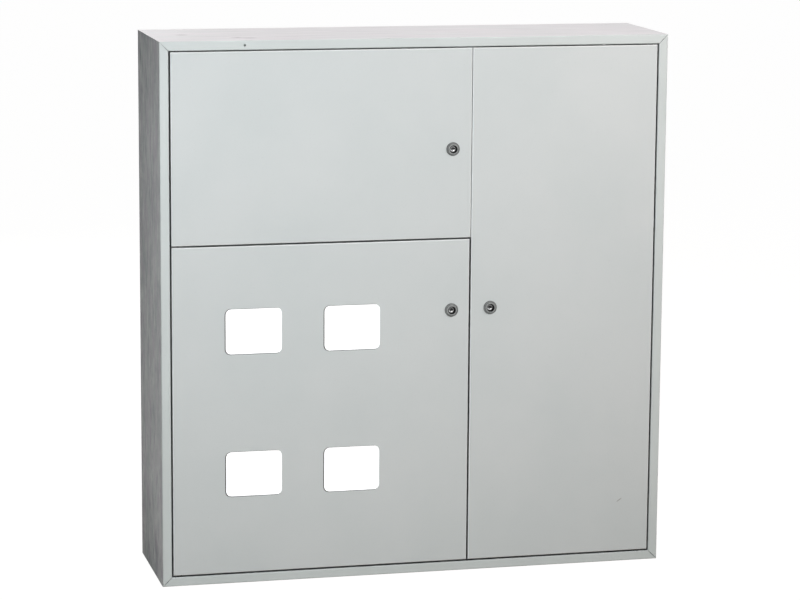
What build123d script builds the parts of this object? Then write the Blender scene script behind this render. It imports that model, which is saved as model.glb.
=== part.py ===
from build123d import *
import os

# Floor distribution board: a shallow sheet steel cabinet with three flush doors.
# X runs to the right, Y into the cabinet, Z up. The origin is under the middle of the
# cabinet, on the surface it stands on.

# Cabinet
width = 950.0
height = 1000.0
depth = 250.0
sheet = 1.2             # thickness of every folded sheet
bend = 1.9              # outer radius of a fold
rim = 17.0              # visible face of the front rim
jamb = 12.0             # fold of the rim that faces the door edge
back_lip = 15.0         # fold that carries the back panel
mitre_gap = 0.5         # open seam between two rim ends
seat_gap = 0.8          # room left beside a fold for a panel's edge
rim_hole_radius = 2.0   # the small hole in the top rim, by which the shell hangs while it is painted
rim_hole_side = 155.0
over = 1.0              # how far a cut runs past the metal

# Doors
door_gap = 3.0          # beside the jambs, under the doors and round the meter door
top_gap = 2.0
free_gap = 1.2          # between the upper door and the tall one
door_depth = 16.0
door_lip = 9.0          # second fold along the upright edges of a door
meter_door_width = 554.5
meter_door_height = 608.5
stop_gap = 0.5          # between a closed door and the post that it meets

# Hinges: a pin near the edge of each door, inside its fold
pin_radius = 2.5
pin_fit = 0.05
pin_inset = 12.0        # from the door's hinge edge
pin_setback = 6.0       # from the door's face
pin_reach = 4.0         # what stands past the sheet that the pin enters
pin_head_radius = 4.0
pin_head = 2.0
shoulder_radius = 4.5
shoulder_gap = 0.3
plate_length = 24.0     # plate that thickens the fold round a pin
plate_width = 11.0
plate_thickness = 3.0
pin_end_bevel = 0.6

# Middle post and shelf
post_flange = 24.0
post_angle_depth = 30.0
shelf_flange = 22.0
tab_width = 25.0        # tongue of the shelf that holds the middle pin
tab_setback = 1.5
partition_slot = (50.0, 100.0)   # passages for wires, deep and high
shelf_slot = (140.0, 50.0)       # passage for wires, wide and deep

stiffener_crown = 24.0
stiffener_foot = 12.0

# Windows of the meter door
window_width = 106.0
window_height = 85.0
window_radius = 11.0
window_column = 149.5   # first column's middle from the door's left edge
window_row = 185.5      # lower row's middle from the door's lower edge
window_pitch_x = 183.5
window_pitch_z = 265.5
window_lap = 9.0        # pane and seal hidden behind the door
seal_show = 0.8
seal_shift = 1.2        # the glazing sits a little to the right in its openings
seal_thickness = 1.0
pane_thickness = 2.0
clip_width = 12.0
clip_foot = 9.0
clip_hook = 6.0
clip_sheet = 0.8
clip_step = 50.0        # between the two clips of one side
stud_radius = 1.5
stud_length = 6.0
small_nut = 5.5         # across flats
small_nut_height = 2.4

# Quarter turn locks
lock_inset_left = 33.5  # from the free edge of the meter door
lock_inset_right = 37.5
upper_lock_height = 796.0
meter_lock_height = 497.0
right_lock_height = 499.0
lock_stand = 5.0        # how far the head stands off the door
lock_flange_radius = 12.5
lock_rim_radius = 9.0   # where the head's cone ends in a flat ring
lock_edge = 1.0         # upright edge of the flange
lock_barrel_radius = 9.75
lock_hole_fit = 0.25
lock_length = 18.0      # from the door's face to the end of the barrel
lock_well_radius = 7.3
lock_well_depth = 8.0
lock_bore_radius = 5.0
core_fit = 0.1
core_gap = 0.3
core_head = 1.5
key_side = 8.0          # triangular driver
key_rise = 5.0
key_corner = 0.8
lock_nut_flats = 24.0
lock_nut_height = 5.0
cam_thickness = 2.5
cam_reach = 28.0
cam_hub_radius = 9.0
cam_tip_radius = 6.0
cam_square = 8.0
cam_square_fit = 0.1
cam_screw_radius = 2.5
cam_screw_length = 9.0
cam_screw_head_radius = 5.0
cam_screw_head = 2.5

# Fixing of the cabinet to a wall
wall_hole_radius = 5.0
wall_hole_inset = 45.0  # from the cabinet's side, bottom and top

# Breaker space
cover_setback = 83.0
cover_width = 500.0
cover_height = 290.0
cover_fold = 15.0
cover_side = 38.0       # from the cabinet's left side
cover_top = 24.0        # from the cabinet's top
cover_screw_inset = 15.0
module = 18.0
modules_in_row = 24
slot_height = 46.0
rail_pitch = 130.0
rail_length = 486.0
rail_height = 35.0
rail_inner = 27.0
rail_depth = 7.5
rail_sheet = 1.0
rail_bend = 1.2
rail_slot = (18.0, 6.3)
rail_slot_pitch = 36.0
rail_side_slots = 6     # on each side of the middle one
upright_width = 30.0
upright_height = 109.0
upright_foot = 14.0
standoff_radius = 5.0
spigot = 6.0            # threaded end of a standoff in its upright
screw_radius = 2.5
screw_hole_fit = 0.3
screw_head_radius = 4.8
screw_head = 3.0
screw_grip = 8.0
head_round = 0.45       # of a screw head's height
recess_reach = 0.5      # of the head's radius, half the length of its cross
recess_width = 0.12     # of the head's radius, half the width of its cross
recess_depth = 0.6      # of the head's height

# Neutral and earth bars
bar_length = 190.0
bar_height = 12.0
bar_depth = 9.0
bar_holes = 12
bar_hole_radius = 2.7
bar_rise = 26.0         # from the shelf to the middle of the bar
bar_foot = 34.0         # height of what carries a bar off the back panel
bar_foot_width = 14.0
bar_foot_inset = 14.0
bar_foot_height = 26.0
bar_foot_round = 2.0
neutral_bar_left = 60.0
earth_bar_left = 300.0
terminal_head_radius = 3.2
terminal_head = 3.0

# Meter panel and low current panel
panel_setback = 200.0
panel_fold = 14.0
meter_panel_width = 440.0
meter_panel_height = 560.0
meter_panel_bottom = 34.0
meter_slot = (6.0, 40.0)
meter_slot_round = 2.9
meter_slot_spread = 90.0
low_panel_width = 260.0
low_panel_height = 800.0
low_panel_slot = (24.0, 7.0)
low_panel_columns = 5
low_panel_rows = 14
standoff_inset = 30.0
earth_stud_radius = 4.0
earth_stud_length = 30.0
earth_stud_height = 60.0
earth_stud_side = 24.0
earth_nut_flats = 13.0
earth_nut_height = 6.5
earth_stud_bevel = 0.8

# Lines that several pieces share
left = -width / 2
right = width / 2
left_door_x0 = left + rim + door_gap
left_door_x1 = left_door_x0 + meter_door_width
right_door_x0 = left_door_x1 + door_gap
right_door_x1 = right - rim - door_gap
door_z0 = rim + door_gap
split_z0 = door_z0 + meter_door_height
split_z1 = split_z0 + door_gap
door_z1 = height - rim - top_gap
post_x = left_door_x1 + door_gap / 2
shelf_z = split_z0 + door_gap / 2
stop_y = door_depth + stop_gap
back_y = depth - 2 * sheet
inner_left = left + sheet
partition_left = post_x - sheet
shelf_top = shelf_z + sheet / 2
cam_y = lock_length + core_gap
cover_x = left + cover_side + cover_width / 2
cover_z = height - cover_top - cover_height / 2
upright_y = back_y - upright_height
rail_y = upright_y - rail_depth
rail_z = (cover_z - rail_pitch / 2, cover_z + rail_pitch / 2)
slot_width = module * modules_in_row
upright_x = (cover_x - rail_side_slots * rail_slot_pitch, cover_x + rail_side_slots * rail_slot_pitch)
cover_screw_rise = cover_height / 2 - cover_screw_inset
cover_levels = (cover_z - cover_screw_rise, cover_z + cover_screw_rise)
bar_y = back_y - bar_foot
bar_z = shelf_top + bar_rise
meter_panel_x = (inner_left + partition_left) / 2
meter_panel_z = meter_panel_bottom + meter_panel_height / 2
low_panel_x = (post_x + right - sheet) / 2
low_panel_z = height / 2
left_pin_x = left_door_x0 + pin_inset
right_pin_x = right_door_x1 - pin_inset
left_lock_x = left_door_x1 - lock_inset_left
right_lock_x = right_door_x0 + lock_inset_right
meter_frame = (left_door_x0, left_door_x1)
upper_frame = (left_door_x0, right_door_x0 - free_gap)
right_frame = (right_door_x0, right_door_x1)
seal_y = sheet + seal_thickness
pane_y = seal_y + pane_thickness

along_x = Rot(0, 90, 0) * Rot(0, 0, 90)     # turns a section drawn in XY into one in YZ, run along X


def folded(points, length, radius=bend, thickness=sheet):
    """A sheet folded along points drawn in XY, with its metal on their left, run up along Z."""
    line = FilletPolyline(*points, radius=radius)
    outline = line.wire().offset_2d(thickness, kind=Kind.ARC, side=Side.LEFT, closed=True)
    return extrude(Face(outline), amount=length, dir=(0, 0, 1))


def block(x0, x1, y0, y1, z0, z1):
    """A box between two corners."""
    size = Box(x1 - x0, y1 - y0, z1 - z0)
    return Pos((x0 + x1) / 2, (y0 + y1) / 2, (z0 + z1) / 2) * size


def rod(radius, y0, y1, x=0.0, z=0.0):
    """A round bar along Y."""
    return Pos(x, (y0 + y1) / 2, z) * Rot(90, 0, 0) * Cylinder(radius, y1 - y0)


def upright_rod(radius, z0, z1, x=0.0, y=0.0):
    """A round bar along Z."""
    return Pos(x, y, (z0 + z1) / 2) * Cylinder(radius, z1 - z0)


def hexagon(flats, y0, y1, x=0.0, z=0.0):
    """A hexagonal prism along Y."""
    face = Plane.XZ.offset(-y0) * RegularPolygon(flats / 2, 6, major_radius=False)
    return Pos(x, 0, z) * extrude(face, amount=-(y1 - y0))


def pan_screw(radius, head_radius, head, grip, y, x, z):
    """A pan head screw that clamps at y, driven along Y, with a cross recess."""
    screw = rod(head_radius, y - head, y, x, z)
    screw = fillet(screw.edges().filter_by(GeomType.CIRCLE).sort_by(Axis.Y)[0], head * head_round)
    screw += rod(radius, y, y + grip, x, z)
    cross = head_radius * recess_reach
    arm = head_radius * recess_width
    floor = y - head * (1 - recess_depth)
    screw -= block(x - cross, x + cross, y - head, floor, z - arm, z + arm)
    screw -= block(x - arm, x + arm, y - head, floor, z - cross, z + cross)
    return screw


# Shell

def shell_member(run):
    """One side of the shell: web, rim, jamb and back lip in one sheet, mitred at both ends."""
    section = ((back_lip, depth), (0, depth), (0, 0), (rim, 0), (rim, jamb))
    member = folded(section, run)
    front = Plane.XZ.offset(over)
    wide = rim + over
    mitre = Polyline(
        (-over, -over), (wide, wide), (wide, run - wide), (-over, run + over), close=True)
    member &= extrude(front * make_face(mitre), amount=-(depth + 2 * over))
    rise = mitre_gap / 2 * 2 ** 0.5
    start = 2 * bend
    seam = Polyline((start, start), (wide, wide), (wide, wide + rise), (start, start + rise), close=True)
    cut = extrude(front * make_face(seam), amount=-(jamb + 2 * over))
    member -= cut
    member -= mirror(cut, Plane.XY.offset(run / 2))
    return member


def jamb_hole(x, z):
    """The hole that a hinge pin turns in."""
    reach = 3 * sheet
    return upright_rod(pin_radius + pin_fit, z - reach, z + reach, x, pin_setback)


def left_side():
    return Pos(left, 0, 0) * shell_member(height)


def right_side():
    return mirror(left_side(), Plane.YZ)


def bottom_panel():
    panel = Pos(right, 0, 0) * Rot(0, -90, 0) * shell_member(width)
    for x in (left_pin_x, right_pin_x):
        panel -= jamb_hole(x, rim)
    return panel


def top_panel():
    panel = mirror(bottom_panel(), Plane.XY.offset(height / 2))
    return panel - rod(rim_hole_radius, -over, sheet + over, left + rim_hole_side, height - rim / 2)


def back_panel():
    edge = sheet + seat_gap
    panel = block(left + edge, right - edge, back_y, back_y + sheet, edge, height - edge)
    for x in (left + wall_hole_inset, right - wall_hole_inset):
        for z in (wall_hole_inset, height - wall_hole_inset):
            panel -= rod(wall_hole_radius, back_y - over, back_y + sheet + over, x, z)
    return panel


def centre_partition():
    """Wall between the left compartments and the tall one, with a flange that the doors meet."""
    section = (
        (post_x - post_flange, stop_y), (post_x, stop_y), (post_x, back_y), (post_x - back_lip, back_y))
    wall = Pos(0, 0, sheet) * folded(section, height - 2 * sheet)
    slot_depth, slot_run = partition_slot
    slot_y = (stop_y + back_y) / 2
    for z in (door_z0 + meter_door_height / 2, (split_z1 + door_z1) / 2):
        wall -= block(
            post_x - 2 * sheet, post_x + sheet, slot_y - slot_depth / 2, slot_y + slot_depth / 2,
            z - slot_run / 2, z + slot_run / 2)
    return wall


def centre_angle():
    """Angle on the other side of the same wall, behind the tall door's free edge."""
    section = ((post_x, stop_y + post_angle_depth), (post_x, stop_y), (post_x + post_flange, stop_y))
    return Pos(0, 0, sheet) * folded(section, height - 2 * sheet)


def shelf():
    """Floor of the breaker space, with a tongue between the left doors for the middle pin."""
    section = (
        (back_y, shelf_top - back_lip), (back_y, shelf_top), (stop_y, shelf_top),
        (stop_y, shelf_top - shelf_flange))
    plate = Pos(inner_left, 0, 0) * along_x * folded(section, partition_left - inner_left)
    tab_x0 = left_door_x0 + seat_gap
    tab_x1 = tab_x0 + tab_width
    above = shelf_top + over
    below = shelf_top - shelf_flange - over
    plate -= block(
        inner_left - over, tab_x1 + sheet, stop_y - over, stop_y + bend, below, above)
    plate += block(tab_x0, tab_x1, tab_setback, stop_y + bend, shelf_top - sheet, shelf_top)
    plate -= block(
        post_x - post_flange - seat_gap, post_x, stop_y - over, stop_y + sheet + seat_gap, below,
        above)
    plate -= block(
        post_x - back_lip - seat_gap, post_x, back_y - sheet - seat_gap, depth, below, above)
    slot_run, slot_depth = shelf_slot
    slot_x = (inner_left + partition_left) / 2
    slot_y = (stop_y + back_y) / 2
    plate -= block(
        slot_x - slot_run / 2, slot_x + slot_run / 2, slot_y - slot_depth / 2, slot_y + slot_depth / 2,
        shelf_top - 2 * sheet, above)
    plate -= upright_rod(
        pin_radius + pin_fit, shelf_top - 2 * sheet, above, left_pin_x, pin_setback)
    return plate


# Doors

def door_leaf(x0, x1, z0, z1, hinge_x, lock_x, lock_z):
    """A shallow pan folded from one sheet, with a second fold along its upright edges."""
    leaf = block(x0, x1, 0, door_depth, z0, z1)
    leaf = fillet(leaf.faces().sort_by(Axis.Y)[0].edges(), bend)
    pocket = block(x0 + sheet, x1 - sheet, sheet, door_depth + over, z0 + sheet, z1 - sheet)
    leaf -= fillet(pocket.faces().sort_by(Axis.Y)[0].edges(), bend - sheet)
    lip_end = plate_length + 2 * sheet
    for edge, other in ((x0, x0 + door_lip), (x1 - door_lip, x1)):
        leaf += block(edge, other, door_depth - sheet, door_depth, z0 + lip_end, z1 - lip_end)
    for z in (z0, z1):
        leaf -= upright_rod(pin_radius + pin_fit, z - 2 * sheet, z + 2 * sheet, hinge_x, pin_setback)
    leaf -= rod(lock_barrel_radius + lock_hole_fit, -over, 2 * sheet, lock_x, lock_z)
    return leaf


def hinge_plates(x0, x1, z0, z1, hinge_x):
    """Plates welded inside the lower and upper folds, where the pins pass."""
    if abs(hinge_x - x0) < abs(hinge_x - x1):
        near, far = x0 + sheet, x0 + sheet + plate_length
    else:
        near, far = x1 - sheet - plate_length, x1 - sheet
    plates = Part()
    for low in (z0 + sheet, z1 - sheet - plate_thickness):
        plate = block(near, far, bend, bend + plate_width, low, low + plate_thickness)
        plate -= upright_rod(
            pin_radius + pin_fit, low - over, low + plate_thickness + over, hinge_x, pin_setback)
        plates += plate
    return plates


def jamb_pin(x, z, gap, up):
    """A shouldered pin riveted in the door: head, shaft, shoulder in the gap and a bevelled end."""
    head_y = -(sheet + plate_thickness)
    tip = gap + sheet + pin_reach
    outline = Polyline(
        (0, head_y - pin_head), (pin_head_radius, head_y - pin_head), (pin_head_radius, head_y),
        (pin_radius, head_y), (pin_radius, shoulder_gap), (shoulder_radius, shoulder_gap),
        (shoulder_radius, gap - shoulder_gap), (pin_radius, gap - shoulder_gap),
        (pin_radius, tip - pin_end_bevel), (pin_radius - pin_end_bevel, tip), (0, tip), close=True)
    pin = revolve(Plane.XZ * make_face(outline), Axis.Z)
    if not up:
        pin = mirror(pin, Plane.XY)
    return Pos(x, pin_setback, z) * pin


def right_door_pins():
    upper = jamb_pin(right_pin_x, door_z1, top_gap, True)
    return upper + jamb_pin(right_pin_x, door_z0, door_gap, False)


def split_pin():
    """The pin fixed in the shelf's tongue, which both left doors turn on."""
    reach = door_gap / 2 + sheet + plate_thickness + pin_reach / 2
    pin = upright_rod(pin_radius, shelf_z - reach, shelf_z + reach, left_pin_x, pin_setback)
    return chamfer(pin.edges().filter_by(GeomType.CIRCLE), pin_end_bevel)


def window_places():
    for row in (1, 0):
        for column in (0, 1):
            yield (
                left_door_x0 + window_column + column * window_pitch_x,
                door_z0 + window_row + row * window_pitch_z)


def rounded_plate(plate_width, plate_height, radius, y0, y1, x, z):
    face = Plane.XZ.offset(-y0) * RectangleRounded(plate_width, plate_height, radius)
    return Pos(x, 0, z) * extrude(face, amount=-(y1 - y0))


def meter_door():
    leaf = door_leaf(*meter_frame, door_z0, split_z0, left_pin_x, left_lock_x, meter_lock_height)
    for x, z in window_places():
        leaf -= rounded_plate(window_width, window_height, window_radius, -over, 2 * sheet, x, z)
    return leaf


def glazing_places():
    for x, z in window_places():
        yield x + seal_shift, z


def window_seals():
    seals = Part()
    for x, z in glazing_places():
        lap = 2 * window_lap
        seal = rounded_plate(
            window_width + lap, window_height + lap, window_radius, sheet, seal_y, x, z)
        seal -= rounded_plate(
            window_width - 2 * seal_show, window_height - 2 * seal_show, window_radius - seal_show,
            0, seal_y + over, x, z)
        seals += seal
    return seals


def window_pane(x, z):
    lap = 2 * window_lap
    return rounded_plate(window_width + lap, window_height + lap, window_radius, seal_y, pane_y, x, z)


def clip_places():
    edge = window_width / 2 + window_lap
    for x, z in glazing_places():
        for side in (-1, 1):
            for step in (-0.5, 0.5):
                yield x + side * edge, z + step * clip_step, side


def pane_clips():
    """Stepped clips: a foot on the door, a hook on the pane."""
    rise = seat_gap
    section = (
        (-clip_hook, pane_y), (rise, pane_y), (rise, sheet), (rise + clip_foot, sheet))
    clips = Part()
    for x, z, side in clip_places():
        clip = folded(section, clip_width, clip_sheet / 2, clip_sheet)
        clip = Pos(0, 0, -clip_width / 2) * clip
        clip -= rod(stud_radius + pin_fit, 0, pane_y, rise + clip_sheet + clip_foot / 2, 0)
        clips += Pos(x, 0, z) * (clip if side > 0 else mirror(clip, Plane.YZ))
    return clips


def clip_nuts():
    """Studs welded to the door, each with its nut."""
    nuts = Part()
    out = seat_gap + clip_sheet + clip_foot / 2
    for x, z, side in clip_places():
        at = x + side * out
        nut = rod(stud_radius, sheet, sheet + stud_length, at, z)
        nut += hexagon(small_nut, sheet + clip_sheet, sheet + clip_sheet + small_nut_height, at, z)
        nuts += nut
    return nuts


def right_door_stiffener():
    """A hat section up the middle of the tall door, spot welded to its inside."""
    crown = stiffener_crown / 2
    foot = crown + stiffener_foot
    rise = door_depth - 2 * sheet - stop_gap
    middle = (right_door_x0 + right_door_x1) / 2
    end = plate_length + 4 * sheet
    section = (
        (-foot, 0), (-crown, 0), (-crown, rise), (crown, rise), (crown, 0), (foot, 0))
    return Pos(middle, sheet, door_z0 + end) * folded(section, door_z1 - door_z0 - 2 * end)


# Locks

def lock_housing(x, z):
    """A coned head, a barrel through the door, and the well that the key enters."""
    outline = Polyline(
        (0, -lock_stand), (lock_rim_radius, -lock_stand), (lock_flange_radius, -lock_edge),
        (lock_flange_radius, 0), (lock_barrel_radius, 0), (lock_barrel_radius, lock_length),
        (0, lock_length), close=True)
    housing = revolve(make_face(outline), Axis.Y)
    well_floor = lock_well_depth - lock_stand
    housing -= rod(lock_well_radius, -lock_stand - over, well_floor)
    housing -= rod(lock_bore_radius, -lock_stand - over, lock_length + over)
    return Pos(x, 0, z) * housing


def lock_nut(x, z):
    nut = hexagon(lock_nut_flats, sheet, sheet + lock_nut_height, x, z)
    return nut - rod(lock_barrel_radius, 0, sheet + lock_nut_height + over, x, z)


def lock_core(x, z):
    """The turning core: a triangular driver in the well, a shaft, and a square for the cam."""
    well_floor = lock_well_depth - lock_stand
    head_front = well_floor - core_gap - core_head
    core = rod(lock_well_radius - core_gap, head_front, well_floor - core_gap)
    core += rod(lock_bore_radius - core_fit, head_front, cam_y)
    triangle = Rot(0, 0, -90) * RegularPolygon(key_side / 3 ** 0.5, 3)
    key = Plane.XZ.offset(key_rise - head_front) * triangle
    core += fillet(extrude(key, amount=-key_rise).edges().filter_by(Axis.Y), key_corner)
    core += block(
        -cam_square / 2, cam_square / 2, cam_y, cam_y + cam_thickness - core_gap,
        -cam_square / 2, cam_square / 2)
    core -= rod(cam_screw_radius, cam_y + cam_thickness - cam_screw_length, cam_y + cam_thickness)
    return Pos(x, 0, z) * core


def lock_cam(x, z):
    """The lever, hanging down: released."""
    hub = Circle(cam_hub_radius)
    tip = Pos(0, -(cam_reach - cam_tip_radius)) * Circle(cam_tip_radius)
    face = make_hull(hub.edges() + tip.edges())
    face -= Rectangle(cam_square + 2 * cam_square_fit, cam_square + 2 * cam_square_fit)
    return Pos(x, cam_y, z) * extrude(Plane.XZ * face, amount=-cam_thickness)


def cam_screw(x, z):
    """The screw that clamps the cam on the core."""
    screw = pan_screw(
        cam_screw_radius, cam_screw_head_radius, cam_screw_head, cam_screw_length, 0, 0, 0)
    return Pos(x, cam_y + cam_thickness, z) * Rot(0, 0, 180) * screw


# Breaker space

def upright(x):
    """A channel that stands on the back panel and carries the two rails."""
    half = upright_width / 2
    section = (
        (-half - upright_foot, back_y - sheet), (-half, back_y - sheet), (-half, upright_y),
        (half, upright_y), (half, back_y - sheet), (half + upright_foot, back_y - sheet))
    post = Pos(x, 0, cover_z - cover_height / 2) * folded(section, cover_height)
    for z in (*rail_z, *cover_levels):
        post -= rod(screw_radius, upright_y - over, upright_y + 2 * sheet, x, z)
    return post


def din_rail(z):
    """A top hat rail with slots along its web."""
    lip = rail_height / 2
    wall = rail_inner / 2
    web = rail_depth - rail_sheet
    section = ((0, lip), (0, wall), (web, wall), (web, -wall), (0, -wall), (0, -lip))
    rail = Pos(-rail_length / 2, 0, 0) * along_x * folded(section, rail_length, rail_bend, rail_sheet)
    slot_run, slot_rise = rail_slot
    for index in range(-rail_side_slots, rail_side_slots + 1):
        middle = index * rail_slot_pitch
        rail -= block(
            middle - slot_run / 2, middle + slot_run / 2, -over, rail_depth + over,
            -slot_rise / 2, slot_rise / 2)
    return Pos(cover_x, rail_y, z) * rail


def rail_screws():
    screws = Part()
    for x in upright_x:
        for z in rail_z:
            screws += pan_screw(
                screw_radius, screw_head_radius, screw_head, screw_grip, upright_y - rail_sheet, x, z)
    return screws


def breaker_cover():
    """The dead front: a pan with two slots for the breakers' noses."""
    x0 = cover_x - cover_width / 2
    x1 = cover_x + cover_width / 2
    z0 = cover_z - cover_height / 2
    z1 = cover_z + cover_height / 2
    cover = block(x0, x1, 0, cover_fold, z0, z1)
    cover = fillet(cover.faces().sort_by(Axis.Y)[0].edges(), bend)
    pocket = block(x0 + sheet, x1 - sheet, sheet, cover_fold + over, z0 + sheet, z1 - sheet)
    cover -= fillet(pocket.faces().sort_by(Axis.Y)[0].edges(), bend - sheet)
    for z in rail_z:
        cover -= block(
            cover_x - slot_width / 2, cover_x + slot_width / 2, -over, 2 * sheet,
            z - slot_height / 2, z + slot_height / 2)
    for x, z in cover_places():
        cover -= rod(screw_radius + screw_hole_fit, -over, 2 * sheet, x, z)
    return Pos(0, cover_setback, 0) * cover


def cover_places():
    for x in upright_x:
        for z in cover_levels:
            yield x, z


def cover_standoffs():
    stands = Part()
    for x, z in cover_places():
        stand = hexagon(2 * standoff_radius, cover_setback + sheet, upright_y, x, z)
        stand += rod(screw_radius, upright_y, upright_y + spigot, x, z)
        stands += stand - rod(screw_radius, 0, cover_setback + sheet + screw_grip + over, x, z)
    return stands


def cover_screws():
    screws = Part()
    for x, z in cover_places():
        screws += pan_screw(
            screw_radius, screw_head_radius, screw_head, screw_grip, cover_setback, x, z)
    return screws


def terminal_bar(start):
    """A brass bar bored for wires, with a tapped hole over each bore."""
    x0 = left + start
    y0 = bar_y - bar_depth
    bar = block(x0, x0 + bar_length, y0, bar_y, bar_z - bar_height / 2, bar_z + bar_height / 2)
    for x in terminal_places(x0):
        bar -= upright_rod(
            bar_hole_radius, bar_z - bar_height, bar_z + bar_height, x, y0 + bar_depth / 2)
    return bar


def terminal_places(x0):
    pitch = (bar_length - 4 * bar_foot_inset) / (bar_holes - 1)
    return [x0 + 2 * bar_foot_inset + index * pitch for index in range(bar_holes)]


def terminal_screws():
    screws = Part()
    bar_front = bar_y - bar_depth
    for start in (neutral_bar_left, earth_bar_left):
        for x in terminal_places(left + start):
            screws += rod(terminal_head_radius, bar_front - terminal_head, bar_front, x, bar_z)
    return screws


def bar_feet(start):
    """Two blocks that hold a bar off the back panel."""
    feet = Part()
    x0 = left + start
    for x in (x0 + bar_foot_inset, x0 + bar_length - bar_foot_inset):
        foot = block(
            x - bar_foot_width / 2, x + bar_foot_width / 2, bar_y, back_y,
            bar_z - bar_foot_height / 2, bar_z + bar_foot_height / 2)
        feet += fillet(foot.edges().filter_by(Axis.Y), bar_foot_round)
    return feet


# Panels

def mounting_panel(x, z, panel_width, panel_height):
    """A flat sheet with folded upright edges."""
    half = panel_width / 2
    section = (
        (-half, panel_setback + panel_fold), (-half, panel_setback), (half, panel_setback),
        (half, panel_setback + panel_fold))
    panel = Pos(x, 0, z - panel_height / 2) * folded(section, panel_height)
    for at_x, at_z in panel_places(x, z, panel_width, panel_height):
        panel -= rod(
            screw_radius + screw_hole_fit, panel_setback - over, panel_setback + 2 * sheet, at_x,
            at_z)
    return panel


def panel_places(x, z, panel_width, panel_height):
    for side in (-1, 1):
        for level in (-1, 1):
            yield (
                x + side * (panel_width / 2 - standoff_inset),
                z + level * (panel_height / 2 - standoff_inset))


def meter_panel():
    """Four meter places, each with one upper and two lower slots."""
    panel = mounting_panel(meter_panel_x, meter_panel_z, meter_panel_width, meter_panel_height)
    slot_run, slot_rise = meter_slot
    for x, z in window_places():
        for dx, dz in ((0, 1), (-0.5, -1), (0.5, -1)):
            at_x = x + dx * meter_slot_spread
            at_z = z + dz * meter_slot_spread / 2
            panel -= rounded_plate(
                slot_run, slot_rise, meter_slot_round, panel_setback - over,
                panel_setback + 2 * sheet, at_x, at_z)
    return panel


def low_current_panel():
    """A panel with rows of slots for ties and clips."""
    panel = mounting_panel(low_panel_x, low_panel_z, low_panel_width, low_panel_height)
    slot_run, slot_rise = low_panel_slot
    step_x = (low_panel_width - 2 * standoff_inset) / low_panel_columns
    step_z = (low_panel_height - 4 * standoff_inset) / (low_panel_rows - 1)
    for row in range(low_panel_rows):
        for column in range(low_panel_columns):
            x = low_panel_x + (column - (low_panel_columns - 1) / 2) * step_x
            z = low_panel_z + (row - (low_panel_rows - 1) / 2) * step_z
            panel -= block(
                x - slot_run / 2, x + slot_run / 2, panel_setback - over,
                panel_setback + 2 * sheet, z - slot_rise / 2, z + slot_rise / 2)
    return panel


def both_panel_places():
    yield from panel_places(meter_panel_x, meter_panel_z, meter_panel_width, meter_panel_height)
    yield from panel_places(low_panel_x, low_panel_z, low_panel_width, low_panel_height)


def panel_standoffs():
    stands = Part()
    for x, z in both_panel_places():
        stand = hexagon(2 * standoff_radius, panel_setback + sheet, back_y, x, z)
        stands += stand - rod(screw_radius, 0, panel_setback + sheet + screw_grip + over, x, z)
    return stands


def panel_screws():
    screws = Part()
    for x, z in both_panel_places():
        screws += pan_screw(
            screw_radius, screw_head_radius, screw_head, screw_grip, panel_setback, x, z)
    return screws


def earth_stud():
    """A stud welded to the back panel."""
    x = left + earth_stud_side
    stud = rod(earth_stud_radius, back_y - earth_stud_length, back_y, x, earth_stud_height)
    return chamfer(stud.edges().filter_by(GeomType.CIRCLE).sort_by(Axis.Y)[0], earth_stud_bevel)


def earth_nuts():
    x = left + earth_stud_side
    nuts = Part()
    for index in (0, 1):
        rear = back_y - index * earth_nut_height
        nut = hexagon(earth_nut_flats, rear - earth_nut_height, rear, x, earth_stud_height)
        nuts += nut - rod(
            earth_stud_radius, rear - earth_nut_height - over, rear + over, x, earth_stud_height)
    return nuts


# The nodes

nodes = {
    "left_side": left_side(),
    "right_side": right_side(),
    "top_panel": top_panel(),
    "bottom_panel": bottom_panel(),
    "back_panel": back_panel(),
    "centre_partition": centre_partition(),
    "centre_angle": centre_angle(),
    "shelf": shelf(),
    "split_hinge_pin": split_pin(),
    "upper_door": door_leaf(
        *upper_frame, split_z1, door_z1, left_pin_x, left_lock_x, upper_lock_height),
    "meter_door": meter_door(),
    "right_door": door_leaf(
        *right_frame, door_z0, door_z1, right_pin_x, right_lock_x, right_lock_height),
    "upper_door_hinge_plates": hinge_plates(*upper_frame, split_z1, door_z1, left_pin_x),
    "meter_door_hinge_plates": hinge_plates(*meter_frame, door_z0, split_z0, left_pin_x),
    "right_door_hinge_plates": hinge_plates(*right_frame, door_z0, door_z1, right_pin_x),
    "upper_door_pin": jamb_pin(left_pin_x, door_z1, top_gap, True),
    "meter_door_pin": jamb_pin(left_pin_x, door_z0, door_gap, False),
    "right_door_pins": right_door_pins(),
    "right_door_stiffener": right_door_stiffener(),
    "window_seals": window_seals(),
    "pane_clips": pane_clips(),
    "clip_nuts": clip_nuts(),
    "left_upright": upright(upright_x[0]),
    "right_upright": upright(upright_x[1]),
    "lower_rail": din_rail(rail_z[0]),
    "upper_rail": din_rail(rail_z[1]),
    "rail_screws": rail_screws(),
    "breaker_cover": breaker_cover(),
    "cover_standoffs": cover_standoffs(),
    "cover_screws": cover_screws(),
    "neutral_bar": terminal_bar(neutral_bar_left),
    "neutral_insulators": bar_feet(neutral_bar_left),
    "earth_bar": terminal_bar(earth_bar_left),
    "earth_bar_feet": bar_feet(earth_bar_left),
    "terminal_screws": terminal_screws(),
    "meter_panel": meter_panel(),
    "low_current_panel": low_current_panel(),
    "panel_standoffs": panel_standoffs(),
    "panel_screws": panel_screws(),
    "earth_stud": earth_stud(),
    "earth_nuts": earth_nuts(),
}
for number, (pane_x, pane_z) in enumerate(glazing_places(), 1):
    nodes["window_pane_" + str(number)] = window_pane(pane_x, pane_z)
lock_places = {
    "upper": (left_lock_x, upper_lock_height),
    "meter": (left_lock_x, meter_lock_height),
    "right": (right_lock_x, right_lock_height),
}
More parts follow.
